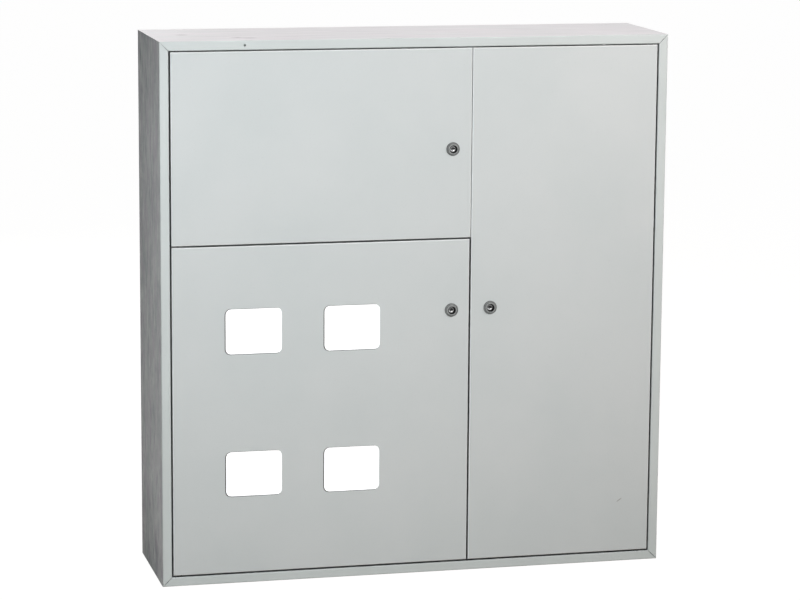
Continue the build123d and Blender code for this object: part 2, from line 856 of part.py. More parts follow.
for name, (lock_x, lock_z) in lock_places.items():
    nodes[name + "_lock_housing"] = lock_housing(lock_x, lock_z)
    nodes[name + "_lock_nut"] = lock_nut(lock_x, lock_z)
    nodes[name + "_lock_core"] = lock_core(lock_x, lock_z)
    nodes[name + "_lock_cam"] = lock_cam(lock_x, lock_z)
    nodes[name + "_cam_screw"] = cam_screw(lock_x, lock_z)

# The front of the doors is moved off Y zero, so that the origin is under the middle.
place = Pos(0, (lock_stand - depth) / 2, 0)
os.makedirs("parts", exist_ok=True)
for name, shape in nodes.items():
    solids = (place * shape).solids()
    export_step(solids[0] if len(solids) == 1 else Compound(solids), "parts/" + name + ".step")
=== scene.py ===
import bpy
import bmesh
from math import cos, pi, radians, sin
from mathutils import Euler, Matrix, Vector


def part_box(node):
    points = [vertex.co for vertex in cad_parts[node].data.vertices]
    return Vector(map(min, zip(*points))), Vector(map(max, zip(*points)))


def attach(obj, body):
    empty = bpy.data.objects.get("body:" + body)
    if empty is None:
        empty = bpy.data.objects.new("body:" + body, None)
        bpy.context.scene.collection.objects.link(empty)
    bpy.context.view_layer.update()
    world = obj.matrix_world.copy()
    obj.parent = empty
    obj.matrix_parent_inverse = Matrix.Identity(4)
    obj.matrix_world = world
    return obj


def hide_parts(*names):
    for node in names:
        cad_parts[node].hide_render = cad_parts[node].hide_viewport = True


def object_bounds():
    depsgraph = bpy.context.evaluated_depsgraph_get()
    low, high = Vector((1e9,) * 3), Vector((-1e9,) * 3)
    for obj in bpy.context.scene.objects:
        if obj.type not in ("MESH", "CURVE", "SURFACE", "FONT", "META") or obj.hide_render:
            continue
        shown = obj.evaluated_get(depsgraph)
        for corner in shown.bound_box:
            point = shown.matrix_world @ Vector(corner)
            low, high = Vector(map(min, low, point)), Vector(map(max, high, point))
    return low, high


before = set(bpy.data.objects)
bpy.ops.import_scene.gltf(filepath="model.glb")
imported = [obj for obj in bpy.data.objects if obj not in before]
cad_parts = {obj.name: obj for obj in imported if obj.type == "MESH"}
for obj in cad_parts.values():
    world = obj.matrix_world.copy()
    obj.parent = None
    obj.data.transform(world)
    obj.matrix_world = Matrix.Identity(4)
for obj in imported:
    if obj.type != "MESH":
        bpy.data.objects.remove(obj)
cad_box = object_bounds()


# Camera
# The board is seen from a little to its left and from above its top edge, with a long lens.
# The place and angles were fitted to the corners of its front and back.
camera_data = bpy.data.cameras.new("camera")
camera = bpy.data.objects.new("camera", camera_data)
bpy.context.scene.collection.objects.link(camera)
bpy.context.scene.camera = camera
frame_width = 800                   # pixels of the picture that the focal length is given in
focal_pixels = 2949.5
camera_data.sensor_width = 36.0
camera_data.lens = focal_pixels / frame_width * camera_data.sensor_width
camera_data.clip_start = 0.1
camera_data.clip_end = 200
camera.location = (-1.2922, -5.3024, 1.4811)
camera_turn = -13.677               # degrees to the right
camera_tilt = -10.229               # degrees down
camera_roll = 0.402
camera.rotation_mode = "QUATERNION"
camera.rotation_quaternion = (
    Euler((0, 0, radians(camera_turn))).to_quaternion()
    @ Euler((radians(90 + camera_tilt), 0, 0)).to_quaternion()
    @ Euler((0, 0, radians(camera_roll))).to_quaternion())


# Studio
# A pale matt floor and a white room. The camera and mirror rays see white, while the light
# that reaches the board stays at a plain level. Five large soft lamps stand in front of the
# board, low and high, to its right, above it and behind it.
def srgb(code):
    """The linear colour of an sRGB hex value."""
    parts = [int(code[start:start + 2], 16) / 255 for start in (0, 2, 4)]
    return [
        part / 12.92 if part <= 0.04045 else ((part + 0.055) / 1.055) ** 2.4 for part in parts] + [1]


def add_node(tree, kind, inputs=(), **settings):
    """Adds a node with its settings. Its inputs, in order or by name, are values, nodes or outputs."""
    node = tree.nodes.new("ShaderNode" + kind)
    for name, value in settings.items():
        setattr(node, name, value)
    for key, value in inputs.items() if isinstance(inputs, dict) else enumerate(inputs):
        if isinstance(value, bpy.types.Node):
            value = value.outputs[0]
        if isinstance(value, bpy.types.NodeSocket):
            tree.links.new(value, node.inputs[key])
        else:
            node.inputs[key].default_value = value
    return node


def new_material(name):
    """An empty material and its node tree."""
    material = bpy.data.materials.new(name)
    material.use_nodes = True
    material.node_tree.nodes.clear()
    return material, material.node_tree


def seen_ray(tree):
    """One for a camera, mirror or glass ray, else zero."""
    path = add_node(tree, "LightPath")
    mirrored = add_node(
        tree, "Math", [path.outputs["Is Camera Ray"], path.outputs["Is Glossy Ray"]], operation="MAXIMUM")
    return add_node(tree, "Math", [mirrored, path.outputs["Is Transmission Ray"]], operation="MAXIMUM")


room_light = 0.10
world = bpy.data.worlds.new("white_room")
bpy.context.scene.world = world
world.use_nodes = True
room = world.node_tree
room.nodes.clear()
dim = add_node(room, "Background", [srgb("FFFFFF"), room_light])
white = add_node(room, "Background", [srgb("FFFFFF"), 1.0])
add_node(room, "OutputWorld", [add_node(room, "MixShader", [seen_ray(room), dim, white])])

half_floor = 30.0
floor_drop = 0.0004                 # keeps the floor clear of the board's underside
floor_glow = 1.20                   # of white, as the camera sees it
floor_glow_share = 0.82             # the rest is matt, and keeps the board's shadow
floor_mesh = bpy.data.meshes.new("floor")
floor_mesh.from_pydata(
    [(-half_floor, -half_floor, 0), (half_floor, -half_floor, 0), (half_floor, half_floor, 0),
     (-half_floor, half_floor, 0)], [], [(0, 1, 2, 3)])
floor = bpy.data.objects.new("floor", floor_mesh)
bpy.context.scene.collection.objects.link(floor)
floor.location.z = -floor_drop
floor_finish, tree = new_material("matt_floor")
floor_grain = add_node(tree, "TexNoise", {"Scale": 6.0, "Detail": 3.0})
floor_tone = add_node(tree, "MixRGB", [floor_grain, srgb("A0958A"), srgb("A69B90")])
floor_matt = add_node(tree, "BsdfDiffuse", [floor_tone])
floor_white = add_node(tree, "Emission", [srgb("FFFFFF"), floor_glow])
floor_share = add_node(tree, "Math", [seen_ray(tree), floor_glow_share], operation="MULTIPLY")
add_node(tree, "OutputMaterial", [add_node(tree, "MixShader", [floor_share, floor_matt, floor_white])])
floor_mesh.materials.append(floor_finish)


def add_lamp(name, place, aim, size, power, tint="FFFFFF"):
    """A square soft lamp that points at a place. Its size is in metres and its power in watts."""
    data = bpy.data.lights.new(name, "AREA")
    data.shape = "SQUARE"
    data.size = size
    data.energy = power
    data.color = srgb(tint)[:3]
    lamp = bpy.data.objects.new(name, data)
    lamp.location = place
    lamp.rotation_euler = (Vector(aim) - Vector(place)).to_track_quat("-Z", "Y").to_euler()
    bpy.context.scene.collection.objects.link(lamp)


add_lamp("right_lamp", (1.1, -1.3, 1.5), (0.0, 0.0, 0.6), 1.2, 17.5, "FFF6F4")
add_lamp("top_lamp", (0.1, 0.4, 3.0), (0.0, 0.0, 1.0), 1.6, 25)
add_lamp("rear_lamp", (-1.0, 3.2, 1.8), (0.0, 0.0, 0.5), 1.8, 45)
add_lamp("near_lamp", (-0.3, -1.6, 1.3), (-0.2, 0.0, 0.7), 1.0, 6.2, "F6FBFF")
add_lamp("low_lamp", (-0.8, -1.8, 1.0), (-0.3, 0.0, 0.4), 1.0, 16.8, "F5FAFF")


# Shell
# Four folded sides of 1.2 mm steel, mitred like a picture frame and welded from behind. Light
# grey polyester powder coat: satin, with the fine orange peel of a sprayed and baked coat. Dirt
# and painted shade sit in the open mitres and in the gaps round the doors, and a thin dull film
# with long streaks, partly painted shade, lies on the upright sides.
mm = 0.001


def grain(tree, size, stretch=(1, 1, 1), detail=2.0, rough=0.5):
    """Noise whose lumps are about the given size in metres, drawn out along an axis."""
    place = add_node(tree, "TexCoord").outputs["Object"]
    scaled = add_node(
        tree, "Mapping", {"Vector": place, "Scale": tuple(1 / (size * part) for part in stretch)})
    return add_node(
        tree, "TexNoise", {"Vector": scaled, "Scale": 1.0, "Detail": detail, "Roughness": rough})


def apart(tree, one, other):
    """How far two values are apart."""
    difference = add_node(tree, "Math", [one, other], operation="SUBTRACT")
    return add_node(tree, "Math", [difference], operation="ABSOLUTE")


def facing(tree, direction, either_way=False):
    """One on faces that look along a direction, and zero where they lean away from it."""
    normal = add_node(tree, "TexCoord").outputs["Normal"]
    along = add_node(tree, "VectorMath", [normal, direction], operation="DOT_PRODUCT").outputs["Value"]
    if either_way:
        along = add_node(tree, "Math", [along], operation="ABSOLUTE")
    return add_node(tree, "MapRange", [along, 0.8, 0.95])


def rubbed_edge(tree, radius):
    """One along sharp edges. A darker colour there shows a thin, rubbed coat; a lighter one, as on the
    doors, is a painted highlight.
    """
    rounded = add_node(tree, "Bevel", [radius], samples=4)
    true = add_node(tree, "NewGeometry").outputs["Normal"]
    along = add_node(tree, "VectorMath", [rounded, true], operation="DOT_PRODUCT").outputs["Value"]
    return add_node(tree, "MapRange", [along, 0.985, 0.9])


def powder_coat(name, light, dark, edge, edge_width, marks):
    """Satin polyester powder coat. marks adds dirt, painted shade and painted highlights to its colour and
    tells where a film dulls it.
    """
    material, tree = new_material(name)
    cloud = grain(tree, 160 * mm, detail=3.0)
    cloud_share = add_node(tree, "MapRange", [cloud, 0.35, 0.65])
    colour = add_node(tree, "MixRGB", [cloud_share, srgb(light), srgb(dark)])
    speck = grain(tree, 3.5 * mm, detail=1.0)       # real specks are under 1 mm: coarser, so they show
    speck_share = add_node(tree, "MapRange", [speck, 0.64, 0.8, 0.0, 0.12])
    colour = add_node(tree, "MixRGB", [speck_share, colour, srgb("9CA19F")])
    patchy = add_node(tree, "MapRange", [grain(tree, 18 * mm, detail=4.0), 0.4, 0.7, 0.15, 0.75])
    # Edges take the edge colour: darker wear on the shell and inside, a painted highlight on the doors.
    edge_wear_and_highlight = add_node(tree, "Math", [rubbed_edge(tree, edge_width), patchy], operation="MULTIPLY")
    colour = add_node(tree, "MixRGB", [edge_wear_and_highlight, colour, srgb(edge)])
    colour, film = marks(tree, colour)
    rough = add_node(tree, "MapRange", [cloud, 0.3, 0.7, 0.40, 0.47])
    peel = grain(tree, 2.2 * mm, detail=1.0)        # real peel is 1 to 2 mm: coarser, so it shows
    peel_bump = add_node(tree, "Bump", {"Strength": 0.3, "Distance": 0.05 * mm, "Height": peel})
    wave = grain(tree, 240 * mm, detail=1.0)
    bump = add_node(
        tree, "Bump", {"Strength": 0.6, "Distance": 1.0 * mm, "Height": wave, "Normal": peel_bump})
    shader = add_node(
        tree, "BsdfPrincipled",
        {"Base Color": colour, "Roughness": rough, "IOR": 1.5, "Normal": bump})
    dull = add_node(tree, "BsdfDiffuse", {"Color": colour, "Normal": bump})
    add_node(tree, "OutputMaterial", [add_node(tree, "MixShader", [film, shader, dull])])
    return material


def finish_nodes(material, *names):
    """Gives CAD nodes their material."""
    for name in names:
        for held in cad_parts[name].material_slots:
            held.material = material


shell_low, shell_high = (Vector(corner) for corner in cad_box)
shell_middle = (shell_low + shell_high) / 2
shell_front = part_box("left_side")[0][1]


def from_skin(tree):
    """How far a place is inside the board's left or right, and inside its top or bottom."""
    half = shell_high - shell_middle
    place = add_node(tree, "TexCoord").outputs["Object"]
    place = add_node(tree, "VectorMath", [place, shell_middle], operation="SUBTRACT")
    axis = add_node(tree, "SeparateXYZ", [add_node(tree, "VectorMath", [place], operation="ABSOLUTE")])
    from_side = add_node(tree, "Math", [half.x, axis.outputs["X"]], operation="SUBTRACT")
    from_end = add_node(tree, "Math", [half.z, axis.outputs["Z"]], operation="SUBTRACT")
    return from_side, from_end


seam_half = 0.5 * mm
seam_start = 2.5 * mm               # the seam is welded shut at the outer corner


def seam_dirt(tree, colour):
    """Dirt and painted shade in the four open mitres of the rim."""
    from_side, from_end = from_skin(tree)
    off_seam = apart(tree, from_side, from_end)
    share = add_node(tree, "MapRange", [off_seam, seam_half, 2 * seam_half, 1.0, 0.0])
    open_part = add_node(tree, "MapRange", [from_side, seam_start, 2 * seam_start])
    share = add_node(tree, "Math", [share, open_part], operation="MULTIPLY")
    share = add_node(tree, "Math", [share, facing(tree, (0, -1, 0))], operation="MULTIPLY")
    uneven = add_node(tree, "MapRange", [grain(tree, 9 * mm, detail=3.0), 0.4, 0.6, 0.25, 1.0])
    share = add_node(tree, "Math", [share, uneven], operation="MULTIPLY")
    # The dark line is dirt, plus painted shade in the narrow gap of the mitre.
    return add_node(tree, "MixRGB", [share, colour, srgb("4A4E50")])


post_x = 101 * mm                   # the line where the doors meet
post_near = 4 * mm                  # dust and painted shade by the post thin out between these distances
post_far = 10 * mm
shelf_z = 630 * mm
shelf_half = 3 * mm


def door_meeting(tree):
    """One near the line where the doors meet, and one above the shelf."""
    axis = add_node(tree, "SeparateXYZ", [add_node(tree, "TexCoord").outputs["Object"]])
    off_post = apart(tree, axis.outputs["X"], post_x)
    at_post = add_node(tree, "MapRange", [off_post, post_near, post_far, 1.0, 0.0])
    above = add_node(tree, "MapRange", [axis.outputs["Z"], shelf_z - shelf_half, shelf_z + shelf_half])
    return at_post, above


rim_face = 11 * mm                  # the outer part of the rim, which stays clean
rim_blend = 1 * mm
sill_top = 40 * mm                  # dust and painted shade are thick up to here, and thin out over the next stretch
sill_fade = 20 * mm
thick_shade_reach = 3 * mm                 # how much nearer to the front thick dust and shade come
shade_start = 0.6 * mm               # depths behind the rim's face
shade_full = 4 * mm
shade_thins = 9 * mm
shade_end = 15 * mm


def gap_dust(tree, colour):
    """Dust and painted shade in the gaps round the doors, thick where the lower doors meet and under all
    doors.
    """
    nearest = add_node(tree, "Math", from_skin(tree), operation="MINIMUM")
    share = add_node(tree, "MapRange", [nearest, rim_face, rim_face + rim_blend])
    axis = add_node(tree, "SeparateXYZ", [add_node(tree, "TexCoord").outputs["Object"]])
    depth = axis.outputs["Y"]
    at_post, above = door_meeting(tree)
    below = add_node(tree, "Math", [1.0, above], operation="SUBTRACT")
    thick = add_node(tree, "Math", [at_post, below], operation="MULTIPLY")
    sideways = facing(tree, (1, 0, 0), either_way=True)
    thick = add_node(tree, "Math", [thick, sideways], operation="MULTIPLY")
    low = add_node(tree, "MapRange", [axis.outputs["Z"], sill_top, sill_top + sill_fade, 1.0, 0.0])
    low = add_node(tree, "Math", [low, facing(tree, (0, 0, 1))], operation="MULTIPLY")
    thick = add_node(tree, "Math", [thick, low], operation="MAXIMUM")
    start = add_node(tree, "MapRange", [thick, 0.0, 1.0, 0.0, thick_shade_reach])
    shaded = add_node(tree, "Math", [depth, start], operation="ADD")
    shaded = add_node(tree, "MapRange", [shaded, shell_front + shade_start, shell_front + shade_full])
    share = add_node(tree, "Math", [share, shaded], operation="MULTIPLY")
    clean = add_node(
        tree, "MapRange", [depth, shell_front + shade_thins, shell_front + shade_end, 1.0, 0.0])
    share = add_node(tree, "Math", [share, clean], operation="MULTIPLY")
    thin = add_node(tree, "Math", [at_post, above], operation="MULTIPLY")
    thin = add_node(tree, "MapRange", [thin, 0.0, 1.0, 1.0, 0.1])
    share = add_node(tree, "Math", [share, thin], operation="MULTIPLY")
    patchy = add_node(tree, "MapRange", [grain(tree, 12 * mm, detail=4.0), 0.3, 0.7, 0.6, 0.95])
    share = add_node(tree, "Math", [share, patchy], operation="MULTIPLY")
    # The dark colour here is dust together with painted shade in the gaps.
    return add_node(tree, "MixRGB", [share, colour, srgb("424443")])


skin = 0.4 * mm                     # how deep a place still counts as the outside
end_reach = 180 * mm                # how far the film is thicker from the top and bottom
thin_streaks = 0.78                 # sums of the two patterns between which streaks grow
full_streaks = 1.18


def side_streaks(tree, colour):
    """Bluish and violet streaks on the upright sides, partly painted shade, in a dull film that thickens to
    the wall.
    """
    from_side, from_end = from_skin(tree)
    outside = add_node(tree, "MapRange", [from_side, skin, 2 * skin, 1.0, 0.0])
    on_side = add_node(
        tree, "Math", [facing(tree, (1, 0, 0), either_way=True), outside], operation="MULTIPLY")
    tint = add_node(tree, "MapRange", [grain(tree, 24 * mm, (1, 1, 2.5), detail=3.0), 0.42, 0.58])
    tint = add_node(tree, "MixRGB", [tint, srgb("8F99A3"), srgb("A298AE")])
    streak = grain(tree, 6 * mm, (1, 1, 18), detail=4.0, rough=0.7)
    mottle = grain(tree, 13 * mm, (1, 1, 2.2), detail=5.0, rough=0.72)
    both = add_node(tree, "Math", [streak, mottle], operation="ADD")
    share = add_node(tree, "MapRange", [both, thin_streaks, full_streaks, 0.0, 0.65])
    share = add_node(tree, "Math", [share, on_side], operation="MULTIPLY")
    # The darker bluish and violet tint is partly painted shade on the sides.
    colour = add_node(tree, "MixRGB", [share, colour, tint])
    axis = add_node(tree, "SeparateXYZ", [add_node(tree, "TexCoord").outputs["Object"]])
    rear = add_node(tree, "MapRange", [axis.outputs["Y"], shell_low.y, shell_high.y, 0.38, 0.66])
    ends = add_node(tree, "MapRange", [from_end, 0.0, end_reach, 0.26, 0.0])
    film = add_node(tree, "Math", [rear, ends], operation="ADD")
    uneven = add_node(tree, "MapRange", [both, thin_streaks, full_streaks, -0.2, 0.2])
    film = add_node(tree, "Math", [film, uneven], operation="ADD", use_clamp=True)
    film = add_node(tree, "Math", [film, on_side], operation="MULTIPLY")
    return colour, film


smudge_places = ((-413 * mm, 5 * mm), (-322 * mm, -62 * mm), (-302 * mm, -72 * mm))
smudge_core = 3 * mm
smudge_reach = 16 * mm


def top_wipes(tree, colour):
    """A pinkish film along the top with wipe marks, and three smudges."""
    outside = add_node(tree, "MapRange", [from_skin(tree)[1], skin, 2 * skin, 1.0, 0.0])
    on_top = add_node(tree, "Math", [facing(tree, (0, 0, 1)), outside], operation="MULTIPLY")
    film = grain(tree, 50 * mm, (4, 1, 1), detail=3.0)
    film = add_node(tree, "MapRange", [film, 0.35, 0.65, 0.6, 0.95])
    film = add_node(tree, "Math", [film, on_top], operation="MULTIPLY")
    colour = add_node(tree, "MixRGB", [film, colour, srgb("DCD7DA")])
    wipe = grain(tree, 4 * mm, (34, 1, 1), detail=3.0, rough=0.65)
    wipe = add_node(tree, "MapRange", [wipe, 0.46, 0.66, 0.0, 0.5])
    wipe = add_node(tree, "Math", [wipe, on_top], operation="MULTIPLY")
    colour = add_node(tree, "MixRGB", [wipe, colour, srgb("AFA8AC")])
    for smudge_x, smudge_y in smudge_places:
        place = add_node(tree, "TexCoord").outputs["Object"]
        away = add_node(
            tree, "VectorMath", [place, (smudge_x, smudge_y, shell_high.z)], operation="DISTANCE")
        smudge = add_node(
            tree, "MapRange", [away.outputs["Value"], smudge_core, smudge_reach, 0.8, 0.0])
        smudge = add_node(tree, "Math", [smudge, grain(tree, 9 * mm, detail=4.0)], operation="MULTIPLY")
        smudge = add_node(tree, "Math", [smudge, on_top], operation="MULTIPLY")
        colour = add_node(tree, "MixRGB", [smudge, colour, srgb("7A757A")])
    return colour


def shell_marks(tree, colour):
    """All the marks and painted shade on the shell, and where its film is."""
    colour, film = side_streaks(tree, gap_dust(tree, seam_dirt(tree, colour)))
    return top_wipes(tree, colour), film


shell_paint = powder_coat(
    "light_grey_powder_coat_on_the_shell", "C9D0CE", "C4CBC9", "747978", 1.6 * mm, shell_marks)
finish_nodes(shell_paint, "left_side", "right_side", "top_panel", "bottom_panel")


# Doors
# Three pans folded from the same 1.2 mm steel and sprayed with the same powder, hung flush in
# the rim. Their round bends carry a painted highlight, their gaps dust and painted shade, and the
# tall door has a short scratch low on its outside, down to the grey primer.
scratch_middle = (398 * mm, 0, 119 * mm)
scratch_length = 6.5 * mm
scratch_width = 1.1 * mm
scratch_slope = 0.6                 # radians from level


def door_scratch(tree, colour):
    """A short line on the outside of the tall door."""
    place = add_node(tree, "TexCoord").outputs["Object"]
    turned = add_node(
        tree, "VectorRotate", {"Vector": place, "Center": scratch_middle, "Angle": scratch_slope},
        rotation_type="Y_AXIS")
    moved = add_node(tree, "VectorMath", [turned, scratch_middle], operation="SUBTRACT")
    axis = add_node(tree, "SeparateXYZ", [add_node(tree, "VectorMath", [moved], operation="ABSOLUTE")])
    along = add_node(tree, "MapRange", [axis.outputs["X"], scratch_length / 2, scratch_length, 1.0, 0.0])
    across = add_node(tree, "MapRange", [axis.outputs["Z"], scratch_width / 2, scratch_width, 1.0, 0.0])
    share = add_node(tree, "Math", [along, across], operation="MULTIPLY")
    share = add_node(tree, "Math", [share, facing(tree, (0, -1, 0))], operation="MULTIPLY")
    return add_node(tree, "MixRGB", [share, colour, srgb("9C9E9C")])


def worn_bend(tree, colour):
    """A painted highlight on the round bends at a door's edges."""
    normal = add_node(tree, "TexCoord").outputs["Normal"]
    along = add_node(tree, "VectorMath", [normal, (0, -1, 0)], operation="DOT_PRODUCT").outputs["Value"]
    off_face = add_node(tree, "MapRange", [along, 0.99, 0.93])
    share = add_node(tree, "MapRange", [along, 0.3, 0.5, 0.0, 0.6])
    share = add_node(tree, "Math", [share, off_face], operation="MULTIPLY")
    return add_node(tree, "MixRGB", [share, colour, srgb("FBFEFE")])


def door_marks(tree, colour):
    """All the marks on a door, with dust and painted shade in its gaps and a painted highlight on its
    bends. No film dulls it.
    """
    return door_scratch(tree, worn_bend(tree, gap_dust(tree, colour))), 0.0


# The doors' lighter edge colour, E6EBEA, is a painted highlight on their bends.
door_paint = powder_coat(
    "light_grey_powder_coat_on_the_doors", "CACFCE", "C6CCCB", "E6EBEA", 0.7 * mm, door_marks)
finish_nodes(door_paint, "upper_door", "meter_door", "right_door")


# Inside sheets
# Back, partition, shelf, hinge plates, stiffener and breaker cover, coated with the shell. The
# powder reaches the inside thinly, so it is duller there and shows press lines and hand marks.
# Dust and painted shade lie behind the gaps between the doors.
shelf_shade_near = 3 * mm            # dust and painted shade by the shelf thin out between these distances
shelf_shade_far = 7 * mm
shade_depth = 18 * mm                # behind the rim's face
shade_fade = 8 * mm
post_clear = 3 * mm                 # dust and shade by the shelf end this far left of the post


def handling_marks(tree, colour):
    """Press lines, hand marks, and dust and painted shade behind the gaps between the doors."""
    lines = grain(tree, 5 * mm, (1, 1, 30), 3.0, 0.6)
    lines = add_node(tree, "MapRange", [lines, 0.5, 0.72, 0.0, 0.25])
    colour = add_node(tree, "MixRGB", [lines, colour, srgb("A9AEAC")])
    hands = grain(tree, 70 * mm, detail=5.0, rough=0.65)
    hands = add_node(tree, "MapRange", [hands, 0.55, 0.75, 0.0, 0.22])
    colour = add_node(tree, "MixRGB", [hands, colour, srgb("9DA19F")])
    axis = add_node(tree, "SeparateXYZ", [add_node(tree, "TexCoord").outputs["Object"]])
    at_post, above = door_meeting(tree)
    shaded = add_node(tree, "MapRange", [above, 0.0, 1.0, 1.0, 0.35])
    on_post = add_node(tree, "Math", [at_post, shaded], operation="MULTIPLY")
    off_shelf = apart(tree, axis.outputs["Z"], shelf_z)
    on_shelf = add_node(tree, "MapRange", [off_shelf, shelf_shade_near, shelf_shade_far, 1.0, 0.0])
    left_of_post = add_node(
        tree, "MapRange", [axis.outputs["X"], post_x - 2 * post_clear, post_x - post_clear, 1.0, 0.0])
    on_shelf = add_node(tree, "Math", [on_shelf, left_of_post], operation="MULTIPLY")
    reach = shell_front + shade_depth
    near = add_node(tree, "MapRange", [axis.outputs["Y"], reach, reach + shade_fade, 0.8, 0.0])
    # Painted shade, with dust, on the post and the shelf behind the gaps between the doors.
    share = add_node(tree, "Math", [on_post, on_shelf], operation="MAXIMUM")
    share = add_node(tree, "Math", [share, near], operation="MULTIPLY")
    return add_node(tree, "MixRGB", [share, colour, srgb("4E504F")]), 0.0


inside_paint = powder_coat(
    "thin_grey_powder_coat_inside", "C3C8C6", "BCC1BF", "A3A8A7", 0.7 * mm, handling_marks)
finish_nodes(
    inside_paint, "back_panel", "centre_partition", "centre_angle", "shelf", "right_door_stiffener",
    "upper_door_hinge_plates", "meter_door_hinge_plates", "right_door_hinge_plates", "breaker_cover")


# Spot welds
# The hat section is spot welded to the tall door through its two feet. Each weld leaves a round
# dish with a raised lip under the paint.
weld_radius = 2.6 * mm
weld_lip = 0.25 * mm
weld_sides = 20
weld_profile = ((0.45, 0.3), (0.7, 1.0), (0.85, 0.9), (1.0, 0.0))    # shares of radius and lip
weld_pitch = 75 * mm
weld_inset = 6 * mm
hat_sheet = 1.2 * mm


def add_piece(name, shape, body, material):
    """Makes a bmesh an object with a material, and hands it to a body."""
    mesh = bpy.data.meshes.new(name)
    bmesh.ops.recalc_face_normals(shape, faces=shape.faces)
    shape.to_mesh(mesh)
    shape.free()
    mesh.polygons.foreach_set("use_smooth", [True] * len(mesh.polygons))
    mesh.set_sharp_from_angle(angle=radians(35))
    mesh.materials.append(material)
    piece = bpy.data.objects.new(name, mesh)
    bpy.context.scene.collection.objects.link(piece)
    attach(piece, body)
    return piece


hat_low, hat_high = (Vector(corner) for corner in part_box("right_door_stiffener"))
hat_run = hat_high.z - hat_low.z - 4 * weld_inset
weld_count = round(hat_run / weld_pitch) + 1
welds = bmesh.new()
for weld_x in (hat_low.x + weld_inset, hat_high.x - weld_inset):
    for index in range(weld_count):
        weld_z = hat_low.z + 2 * weld_inset + index * hat_run / (weld_count - 1)
        rings = []
        for share, rise in weld_profile:
            ring = []
            for side in range(weld_sides):
                angle = 2 * pi * side / weld_sides
                ring.append(welds.verts.new((
                    weld_x + weld_radius * share * cos(angle), hat_low.y + hat_sheet + weld_lip * rise,
                    weld_z + weld_radius * share * sin(angle))))
            rings.append(ring)
        welds.faces.new(rings[0])
        for inner, outer in zip(rings, rings[1:]):
            for side in range(weld_sides):
                after = (side + 1) % weld_sides
                welds.faces.new((inner[side], outer[side], outer[after], inner[after]))
add_piece("stiffener_spot_welds", welds, "right_door", inside_paint)


# Windows
# Cast opal acrylic, glossy and evenly white, on a black rubber strip. The sheet also glows a
# little, a painted glow that makes it look brighter than paint.
pane_finish, tree = new_material("white_opal_acrylic")
haze = grain(tree, 60 * mm)
hairline = grain(tree, 1.5 * mm, (14, 1, 1), detail=3.0, rough=0.7)
hairline_share = add_node(tree, "MapRange", [hairline, 0.6, 0.75, 0.0, 0.1])
pane_rough = add_node(tree, "MapRange", [haze, 0.3, 0.7, 0.10, 0.16])
pane_rough = add_node(tree, "Math", [pane_rough, hairline_share], operation="ADD")
pane_wave = grain(tree, 40 * mm)
pane_bump = add_node(tree, "Bump", {"Strength": 0.3, "Distance": 0.3 * mm, "Height": pane_wave})
# The emission is a painted glow: the sheet is no lamp.
pane_shader = add_node(
    tree, "BsdfPrincipled",
    {"Base Color": add_node(tree, "MixRGB", [haze, srgb("FBFBFB"), srgb("F6F7F7")]),
     "Roughness": pane_rough, "IOR": 1.49, "Emission Color": srgb("FFFFFF"), "Emission Strength": 0.5,
     "Normal": pane_bump})
add_node(tree, "OutputMaterial", [pane_shader])
finish_nodes(pane_finish, *["window_pane_" + str(number) for number in range(1, 5)])

# A black rubber strip; where it shows at a window's edge it also stands in for the shade there.
seal_finish, tree = new_material("black_epdm_rubber")
bloom = grain(tree, 5 * mm, detail=3.0)
bloom_share = add_node(tree, "MapRange", [bloom, 0.35, 0.7])
seal_grain = grain(tree, 0.8 * mm)
seal_bump = add_node(tree, "Bump", {"Strength": 0.4, "Distance": 0.05 * mm, "Height": seal_grain})
seal_shader = add_node(
    tree, "BsdfPrincipled",
    {"Base Color": add_node(tree, "MixRGB", [bloom_share, srgb("1C1D1F"), srgb("303235")]),
     "Roughness": add_node(tree, "MapRange", [bloom, 0.3, 0.7, 0.6, 0.8]), "Normal": seal_bump})
add_node(tree, "OutputMaterial", [seal_shader])
finish_nodes(seal_finish, "window_seals")


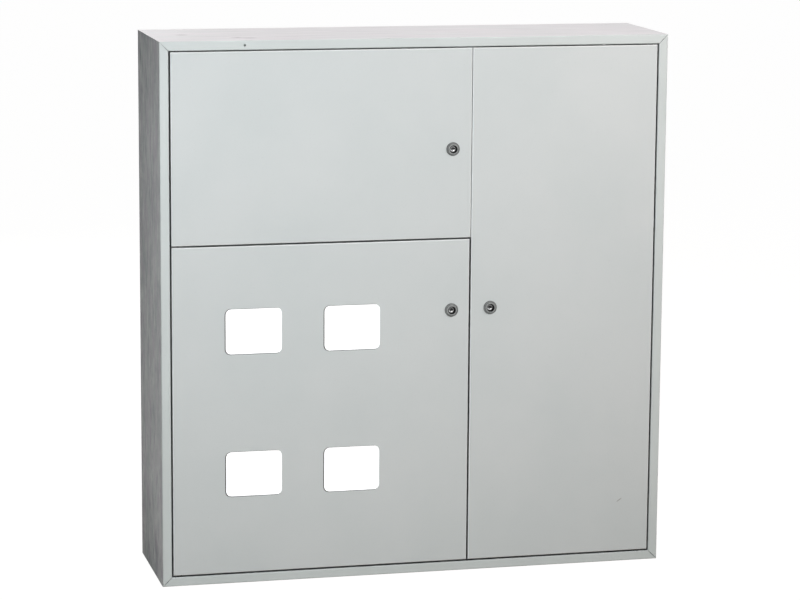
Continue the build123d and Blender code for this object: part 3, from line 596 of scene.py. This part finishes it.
# Clips, studs and hinge pins
# Zinc plated steel: spring clips and nuts that hold the panes. The hinge pins are turned, and
# black with old grease. The threads are drawn as ridges round each stud.
def bare_metal(name, light, dark, lines, smooth=0.25, rough=0.4, thread=0.0):
    """Plated or drawn metal. lines are the size and stretch of its marks, thread a pitch along Y."""
    material, tree = new_material(name)
    drawn = grain(tree, *lines, 3.0, 0.6)
    drawn_share = add_node(tree, "MapRange", [drawn, 0.35, 0.65])
    colour = add_node(tree, "MixRGB", [drawn_share, srgb(light), srgb(dark)])
    stain = grain(tree, 14 * mm, detail=4.0, rough=0.6)
    stain_share = add_node(tree, "MapRange", [stain, 0.52, 0.75, 0.0, 0.4])
    stain_colour = add_node(tree, "HueSaturation", {"Value": 0.72, "Color": srgb(dark)})
    colour = add_node(tree, "MixRGB", [stain_share, colour, stain_colour])
    rubbed_and_highlit = add_node(tree, "Math", [rubbed_edge(tree, 0.3 * mm), 0.5], operation="MULTIPLY")
    colour = add_node(tree, "MixRGB", [rubbed_and_highlit, colour, srgb("DCDDDD")])
    bump = add_node(tree, "Bump", {"Strength": 0.25, "Distance": 0.02 * mm, "Height": drawn})
    if thread:
        axis = add_node(tree, "SeparateXYZ", [add_node(tree, "TexCoord").outputs["Object"]])
        ridge = add_node(tree, "Math", [axis.outputs["Y"], thread / 2], operation="PINGPONG")
        end_face = facing(tree, (0, 1, 0), either_way=True)
        round_face = add_node(tree, "Math", [1.0, end_face], operation="SUBTRACT")
        ridge = add_node(tree, "Math", [ridge, round_face], operation="MULTIPLY")
        bump = add_node(
            tree, "Bump", {"Strength": 1.0, "Distance": 1.0, "Height": ridge, "Normal": bump})
    shader = add_node(
        tree, "BsdfPrincipled",
        {"Base Color": colour, "Metallic": 1.0, "Normal": bump,
         "Roughness": add_node(tree, "MapRange", [drawn, 0.35, 0.65, smooth, rough])})
    add_node(tree, "OutputMaterial", [shader])
    return material


even = (1, 1, 1)
bright_zinc = bare_metal("bright_zinc_plated_steel", "C9CCCE", "B0B2B0", (1.5 * mm, even))
stud_zinc = bare_metal("zinc_plated_thread", "C4C7C9", "A9ABA9", (1.5 * mm, even), thread=0.7 * mm)
greased_pin = bare_metal(
    "turned_pin_under_black_grease", "4A4A49", "2E2E2D", (0.5 * mm, (6, 6, 1)), 0.4, 0.55)
finish_nodes(bright_zinc, "pane_clips")
finish_nodes(stud_zinc, "clip_nuts")
finish_nodes(greased_pin, "split_hinge_pin", "upper_door_pin", "meter_door_pin", "right_door_pins")


# Locks
# Zinc die castings with a satin nickel plate: a coned head, a well and a triangular driver, whose
# core carries a stamped cam. The well and the core deep in it are painted near black as shade, and
# painted shade darkens the upper part of the driver and the foot of the head. A painted highlight
# brightens the lower part of the driver, and a bright arc on the core is a painted reflection.
well_radius = 7.35 * mm
head_radius = 12.5 * mm
ring_radius = 10.4 * mm             # of the line that the lathe left on the cone
driver_rise = 5.0 * mm
highlight_arc = 4.0 * mm                 # radius of the bright arc on the core's face, a painted reflection of the well's rim


def from_lock_axis(tree, middle):
    """The object coordinates, and how far a place is from a lock's axis."""
    axis = add_node(tree, "SeparateXYZ", [add_node(tree, "TexCoord").outputs["Object"]])
    flat = add_node(tree, "CombineXYZ", {"X": axis.outputs["X"], "Z": axis.outputs["Z"]})
    away = add_node(tree, "VectorMath", [flat, (middle.x, 0, middle.z)], operation="DISTANCE")
    return axis, away.outputs["Value"]


def lock_head(name, node):
    """Satin nickel with a turned line round the cone, a well painted black as shade and painted shade round
    its foot.
    """
    material, tree = new_material(name)
    low, high = (Vector(corner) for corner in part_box(node))
    axis, radius = from_lock_axis(tree, (low + high) / 2)
    cast = grain(tree, 0.9 * mm, detail=3.0)
    colour = add_node(
        tree, "MixRGB", [add_node(tree, "MapRange", [cast, 0.35, 0.65]), srgb("8E908F"), srgb("777978")])
    stain = add_node(tree, "MapRange", [grain(tree, 4 * mm, detail=3.0), 0.5, 0.7, 0.0, 0.5])
    colour = add_node(tree, "MixRGB", [stain, colour, srgb("5F6160")])
    off_ring = apart(tree, radius, ring_radius)
    turned = add_node(tree, "MapRange", [off_ring, 0.2 * mm, 0.6 * mm, 0.6, 0.0])
    colour = add_node(tree, "MixRGB", [turned, colour, srgb("4C4E4D")])
    # Painted shade round the foot of the head, where it meets the door.
    foot_shade = add_node(tree, "MapRange", [radius, head_radius - 1.0 * mm, head_radius, 0.0, 0.85])
    colour = add_node(tree, "MixRGB", [foot_shade, colour, srgb("343635")])
    # The well is painted near black: painted shade in the recess.
    well_shade = add_node(tree, "MapRange", [radius, well_radius, well_radius + 0.3 * mm, 1.0, 0.0])
    behind = add_node(tree, "MapRange", [axis.outputs["Y"], low.y - 0.1 * mm, low.y + 0.1 * mm])
    well_shade = add_node(tree, "Math", [well_shade, behind], operation="MULTIPLY")
    colour = add_node(tree, "MixRGB", [well_shade, colour, srgb("0D0E0E")])
    cast_rough = add_node(tree, "MapRange", [cast, 0.3, 0.7, 0.5, 0.62])
    well_rough = add_node(tree, "Math", [well_shade, 0.3], operation="MULTIPLY")
    shader = add_node(
        tree, "BsdfPrincipled",
        {"Base Color": colour, "Metallic": add_node(tree, "MapRange", [well_shade, 0.0, 1.0, 1.0, 0.1]),
         "Roughness": add_node(tree, "Math", [cast_rough, well_rough], operation="ADD"),
         "Normal": add_node(tree, "Bump", {"Strength": 0.3, "Distance": 0.04 * mm, "Height": cast})})
    add_node(tree, "OutputMaterial", [shader])
    return material


def lock_driver(name, node):
    """A core darkened with depth in the well as painted shade, and a driver with a painted highlight below
    and painted shade above.
    """
    material, tree = new_material(name)
    low, high = (Vector(corner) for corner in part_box(node))
    middle = (low + high) / 2
    axis, radius = from_lock_axis(tree, middle)
    scuff = grain(tree, 0.7 * mm, detail=3.0)
    # Painted shade: the core turns near black deeper in the well.
    shade = add_node(
        tree, "MapRange", [axis.outputs["Y"], low.y + 0.8 * mm, low.y + driver_rise - 0.5 * mm])
    # Painted highlight on the lower part of the driver.
    rubbed_and_highlit = add_node(
        tree, "MapRange", [axis.outputs["Z"], middle.z - 0.5 * mm, middle.z - 1.5 * mm])
    patchy = add_node(tree, "MapRange", [scuff, 0.30, 0.45])
    rubbed_and_highlit = add_node(tree, "Math", [rubbed_and_highlit, patchy], operation="MULTIPLY")
    # A bright arc on the core's face: a painted reflection of the well's rim.
    off_arc = apart(tree, radius, highlight_arc)
    arc = add_node(tree, "MapRange", [off_arc, 0.5 * mm, 0.9 * mm, 1.0, 0.0])
    arc = add_node(tree, "Math", [arc, facing(tree, (0, -1, 0))], operation="MULTIPLY")
    shade = add_node(tree, "Math", [shade, arc], operation="SUBTRACT", use_clamp=True)
    faint = add_node(tree, "Math", [arc, 0.3], operation="MULTIPLY")
    rubbed_and_highlit = add_node(tree, "Math", [rubbed_and_highlit, faint], operation="MAXIMUM")
    # Dark above, painted shade; bright below, painted highlight.
    bright = add_node(tree, "MixRGB", [rubbed_and_highlit, srgb("2E2F2F"), srgb("F8F9F9")])
    shader = add_node(
        tree, "BsdfPrincipled",
        {"Base Color": add_node(tree, "MixRGB", [shade, bright, srgb("101111")]),
         "Metallic": add_node(tree, "MapRange", [shade, 0.0, 1.0, 1.0, 0.3]),
         "Roughness": add_node(tree, "MapRange", [scuff, 0.3, 0.7, 0.3, 0.45]),
         "Normal": add_node(tree, "Bump", {"Strength": 0.3, "Distance": 0.03 * mm, "Height": scuff})})
    add_node(tree, "OutputMaterial", [shader])
    return material


cam_zinc = bare_metal("stamped_and_zinc_plated_cam", "C2C5C3", "A6A8A1", (2.5 * mm, even), 0.28, 0.42)
for place in ("upper", "meter", "right"):
    head, core = place + "_lock_housing", place + "_lock_core"
    finish_nodes(lock_head("satin_nickel_" + place + "_lock", head), head)
    finish_nodes(lock_driver("highlit_driver_" + place + "_lock", core), core)
    finish_nodes(bright_zinc, place + "_lock_nut", place + "_cam_screw")
    finish_nodes(cam_zinc, place + "_lock_cam")


# Rails, uprights and mounting panels
# Hot dip galvanised sheet, bare, with a spangle of some millimetres. The rails are yellow
# passivated and drawn along their length. Plated screws and standoffs hold them.
spangle = 9 * mm


def galvanised_sheet(name, light, dark):
    """Zinc crystals, each with its own grey and gloss, under fine scuffs."""
    material, tree = new_material(name)
    place = add_node(tree, "TexCoord").outputs["Object"]
    warp = add_node(tree, "TexNoise", {"Vector": place, "Scale": 1 / spangle, "Detail": 2.0})
    warp = add_node(
        tree, "VectorMath", {"Vector": warp.outputs["Color"], "Scale": spangle / 2}, operation="SCALE")
    place = add_node(tree, "VectorMath", [place, warp], operation="ADD")
    crystal = add_node(tree, "TexVoronoi", {"Vector": place, "Scale": 1 / spangle})
    tone = add_node(tree, "SeparateXYZ", [crystal.outputs["Color"]])
    scuff = grain(tree, 2 * mm, (1, 1, 8), detail=3.0)
    tone_share = add_node(tree, "MapRange", [tone, 0.0, 1.0, 0.0, 0.8])
    colour = add_node(tree, "MixRGB", [tone_share, srgb(light), srgb(dark)])
    scuffed = add_node(tree, "MapRange", [scuff, 0.55, 0.75, 0.0, 0.3])
    colour = add_node(tree, "MixRGB", [scuffed, colour, srgb("8D9194")])
    rough = add_node(tree, "MapRange", [tone, 0.0, 1.0, 0.30, 0.46])
    bump = add_node(tree, "Bump", {"Strength": 0.1, "Distance": 0.02 * mm, "Height": tone})
    bump = add_node(tree, "Bump", {"Strength": 0.2, "Distance": 0.02 * mm, "Height": scuff, "Normal": bump})
    shader = add_node(
        tree, "BsdfPrincipled", {"Base Color": colour, "Metallic": 1.0, "Roughness": rough, "Normal": bump})
    add_node(tree, "OutputMaterial", [shader])
    return material


galvanised = galvanised_sheet("galvanised_sheet_with_spangle", "C3C7CA", "A6ABAE")
rail_zinc = bare_metal("yellow_passivated_rail", "CFC9AE", "B9AF8C", (1.2 * mm, (40, 1, 1)), 0.24, 0.36)
finish_nodes(
    galvanised, "left_upright", "right_upright", "meter_panel", "low_current_panel", "earth_bar_feet")
finish_nodes(rail_zinc, "lower_rail", "upper_rail")
finish_nodes(
    bright_zinc, "rail_screws", "cover_screws", "panel_screws", "cover_standoffs", "panel_standoffs")


# Bars
# Drawn brass, on blue moulded polyamide insulators and on galvanised feet. A slotted brass screw
# over each bore clamps a wire, and each one is left at its own angle.
brass = bare_metal("drawn_brass", "CBA55C", "A98445", (1.2 * mm, (40, 1, 1)), 0.24, 0.38)
finish_nodes(brass, "neutral_bar", "earth_bar")

insulator_finish, tree = new_material("blue_moulded_polyamide")
texture = grain(tree, 1.2 * mm)
flow = add_node(tree, "MapRange", [grain(tree, 16 * mm, (1, 1, 3), 3.0), 0.35, 0.65])
blue = add_node(tree, "MixRGB", [flow, srgb("2C5BA3"), srgb("274F8E")])
blue_edge = add_node(tree, "Math", [rubbed_edge(tree, 0.5 * mm), 0.4], operation="MULTIPLY")
insulator_shader = add_node(
    tree, "BsdfPrincipled",
    {"Base Color": add_node(tree, "MixRGB", [blue_edge, blue, srgb("5C82BD")]), "IOR": 1.53,
     "Roughness": add_node(tree, "MapRange", [texture, 0.3, 0.7, 0.38, 0.5]),
     "Normal": add_node(tree, "Bump", {"Strength": 0.3, "Distance": 0.04 * mm, "Height": texture})})
add_node(tree, "OutputMaterial", [insulator_shader])
finish_nodes(insulator_finish, "neutral_insulators")

terminal_count = 12
terminal_inset = 28 * mm            # from the bar's end to its first screw
terminal_radius = 3.2 * mm
terminal_head = 3.0 * mm
terminal_bevel = 0.4 * mm
terminal_arc_sides = 14
slot_half = 0.45 * mm
slot_depth = 1.4 * mm
slot_turn = 0.83                    # radians between one screw's slot and the next


def slotted_head(shape, x, y, z, turn):
    """A cheese head that looks toward -Y: two D-shaped halves and the floor of the slot."""
    def corner(along, across, rise):
        return shape.verts.new((
            x + along * cos(turn) - across * sin(turn), y - rise,
            z + along * sin(turn) + across * cos(turn)))

    levels = (
        (terminal_radius, 0.0), (terminal_radius, terminal_head - terminal_bevel),
        (terminal_radius - terminal_bevel, terminal_head))
    for side in (1, -1):
        rims = []
        for reach, rise in levels:
            rim = []
            for index in range(terminal_arc_sides + 1):
                angle = pi * index / terminal_arc_sides
                rim.append(corner(reach * cos(angle), side * max(reach * sin(angle), slot_half), rise))
            rims.append(rim)
        for lower, upper in zip(rims, rims[1:]):
            for index in range(terminal_arc_sides + 1):
                after = (index + 1) % (terminal_arc_sides + 1)
                shape.faces.new((lower[index], lower[after], upper[after], upper[index]))
        shape.faces.new(rims[-1])
    reach = terminal_radius - terminal_bevel
    for end in (1, -1):
        sill = [corner(end * reach, across, rise) for across, rise in (
            (-slot_half, 0.0), (slot_half, 0.0), (slot_half, terminal_head - slot_depth),
            (-slot_half, terminal_head - slot_depth))]
        shape.faces.new(sill)
    floor_corners = [corner(along, across, terminal_head - slot_depth) for along, across in (
        (-reach, -slot_half), (reach, -slot_half), (reach, slot_half), (-reach, slot_half))]
    shape.faces.new(floor_corners)


screw_low, screw_high = (Vector(corner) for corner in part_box("terminal_screws"))
heads = bmesh.new()
for bar in ("neutral_bar", "earth_bar"):
    bar_low, bar_high = (Vector(corner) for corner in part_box(bar))
    pitch = (bar_high.x - bar_low.x - 2 * terminal_inset) / (terminal_count - 1)
    for index in range(terminal_count):
        slotted_head(
            heads, bar_low.x + terminal_inset + index * pitch, screw_high.y,
            (screw_low.z + screw_high.z) / 2, index * slot_turn)
terminal_screws = add_piece("slotted_terminal_screws", heads, "cabinet", brass)
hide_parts("terminal_screws")


# Earth stud
# An M8 stud welded to the back panel, zinc plated, with two plain nuts.
earth_zinc = bare_metal("zinc_plated_stud", "C6C9CB", "A9ABAA", (1.0 * mm, even), thread=1.25 * mm)
finish_nodes(earth_zinc, "earth_stud")
finish_nodes(bright_zinc, "earth_nuts")


bpy.context.scene.view_settings.view_transform = "Standard"
